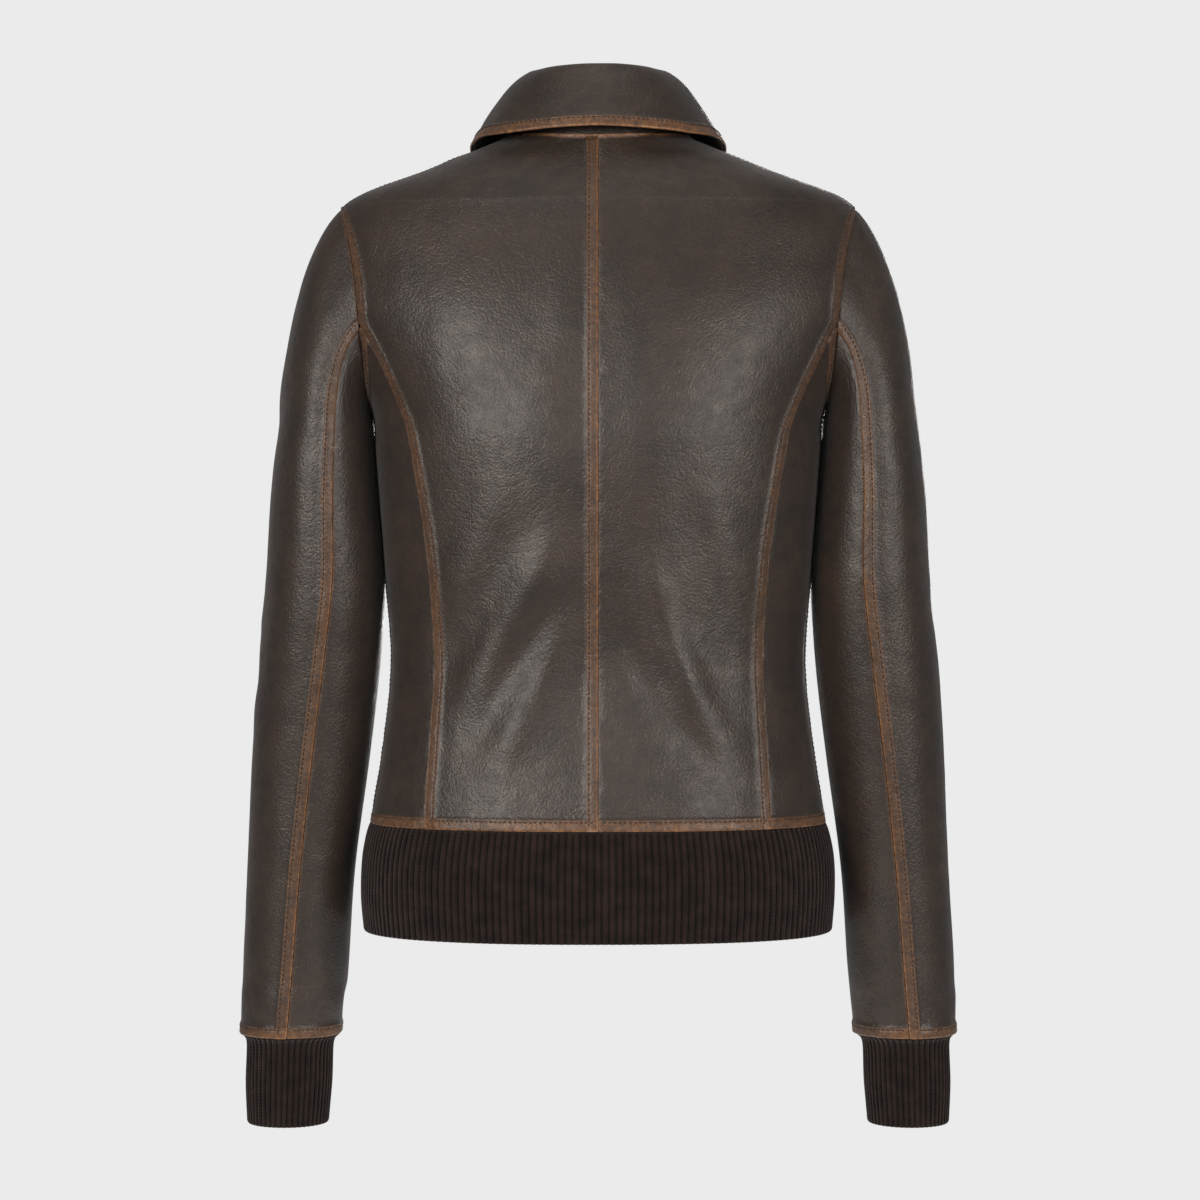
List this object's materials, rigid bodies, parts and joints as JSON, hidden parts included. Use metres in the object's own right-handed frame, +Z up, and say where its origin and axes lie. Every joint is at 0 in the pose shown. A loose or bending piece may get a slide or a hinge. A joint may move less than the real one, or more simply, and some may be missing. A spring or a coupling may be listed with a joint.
{
  "type": "leather riding jacket",
  "caption": "Short fitted riding jacket of distressed leather with shirt collar, princess seams, set-in sleeves, front zip, zip pockets and rib-knit waistband and cuffs.",
  "frame": {"origin": "underside of the hanger loop at its middle, where a hook carries the jacket", "axes": "+Z up, +Y the wearer's front, +X the wearer's right-hand side"},
  "size_m": [0.519, 0.2248, 0.7598],
  "materials": {
    "leather": "waxed dark brown full-grain leather, rubbed tan along its seams",
    "rubbed_leather": "the same leather, more worn",
    "lining": "dark brown satin lining",
    "rib_knit": "very dark brown rib knit",
    "zip_tape": "woven tape",
    "zip_metal": "antique brass"
  },
  "bodies": {
    "body": {"back_panel_left": "leather", "back_panel_right": "leather", "side_back_panel_left": "leather", "side_back_panel_right": "leather", "side_front_panel_left": "leather", "side_front_panel_right": "leather", "front_panel_left": "leather", "front_panel_right": "leather", "sleeve_outer_head_left": "leather", "sleeve_outer_head_right": "leather", "sleeve_under_head_left": "leather", "sleeve_under_head_right": "leather", "front_facing_left": "leather", "front_facing_right": "leather", "waistband_tab_left": "leather", "waistband_tab_right": "leather", "back_neck_facing": "leather", "collar_stand": "leather", "collar_fall": "leather", "under_collar": "leather", "hanger_loop": "leather", "pocket_welt_left": "rubbed_leather", "pocket_welt_right": "rubbed_leather", "front_lining_left": "lining", "front_lining_right": "lining", "back_lining_left": "lining", "back_lining_right": "lining", "sleeve_head_lining_left": "lining", "sleeve_head_lining_right": "lining", "pocket_bag_left": "lining", "pocket_bag_right": "lining", "waistband_rib": "rib_knit", "zip_tape_left": "zip_tape", "zip_tape_right": "zip_tape", "zip_teeth_left": "zip_metal", "zip_teeth_right": "zip_metal", "zip_top_stop_left": "zip_metal", "zip_top_stop_right": "zip_metal", "zip_pin": "zip_metal", "zip_retainer_box": "zip_metal", "pocket_zip_teeth_left": "zip_metal", "pocket_zip_teeth_right": "zip_metal"},
    "sleeve_left": {"sleeve_outer_panel_left": "leather", "sleeve_under_panel_left": "leather", "sleeve_lining_left": "lining", "cuff_rib_left": "rib_knit"},
    "sleeve_right": {"sleeve_outer_panel_right": "leather", "sleeve_under_panel_right": "leather", "sleeve_lining_right": "lining", "cuff_rib_right": "rib_knit"},
    "zip_slider": {"zip_slider": "zip_metal"},
    "zip_pull": {"zip_pull": "zip_metal"},
    "pocket_slider_left": {"pocket_slider_left": "zip_metal"},
    "pocket_pull_left": {"pocket_pull_left": "zip_metal"},
    "pocket_slider_right": {"pocket_slider_right": "zip_metal"},
    "pocket_pull_right": {"pocket_pull_right": "zip_metal"}
  },
  "joints": [
    {"name": "sleeve_left_lift", "type": "hinge", "parent": "body", "child": "sleeve_left", "pos_m": [-0.23043, 0.04129, -0.20044], "axis": [0, 1, 0], "range_deg": [0, 40]},
    {"name": "sleeve_right_lift", "type": "hinge", "parent": "body", "child": "sleeve_right", "pos_m": [0.23043, 0.04129, -0.20044], "axis": [0, -1, 0], "range_deg": [0, 40]},
    {"name": "zip_slide", "type": "slide", "parent": "body", "child": "zip_slider", "axis": [0, 0.045, -0.999], "range_m": [0, 0.4543]},
    {"name": "zip_pull_swing", "type": "hinge", "parent": "zip_slider", "child": "zip_pull", "pos_m": [0, 0.13073, -0.08321], "axis": [1, 0, 0], "range_deg": [0, 150]},
    {"name": "pocket_left_slide", "type": "slide", "parent": "body", "child": "pocket_slider_left", "axis": [-0.2942, -0.0612, -0.9538], "range_m": [0, 0.116]},
    {"name": "pocket_left_pull_swing", "type": "hinge", "parent": "pocket_slider_left", "child": "pocket_pull_left", "pos_m": [-0.0777, 0.13626, -0.33185], "axis": [0.8785, 0.3758, -0.295], "range_deg": [0, 150]},
    {"name": "pocket_right_slide", "type": "slide", "parent": "body", "child": "pocket_slider_right", "axis": [0.2942, -0.0612, -0.9538], "range_m": [0, 0.116]},
    {"name": "pocket_right_pull_swing", "type": "hinge", "parent": "pocket_slider_right", "child": "pocket_pull_right", "pos_m": [0.0777, 0.13626, -0.33185], "axis": [0.8785, -0.3758, 0.295], "range_deg": [0, 150]}
  ]
}
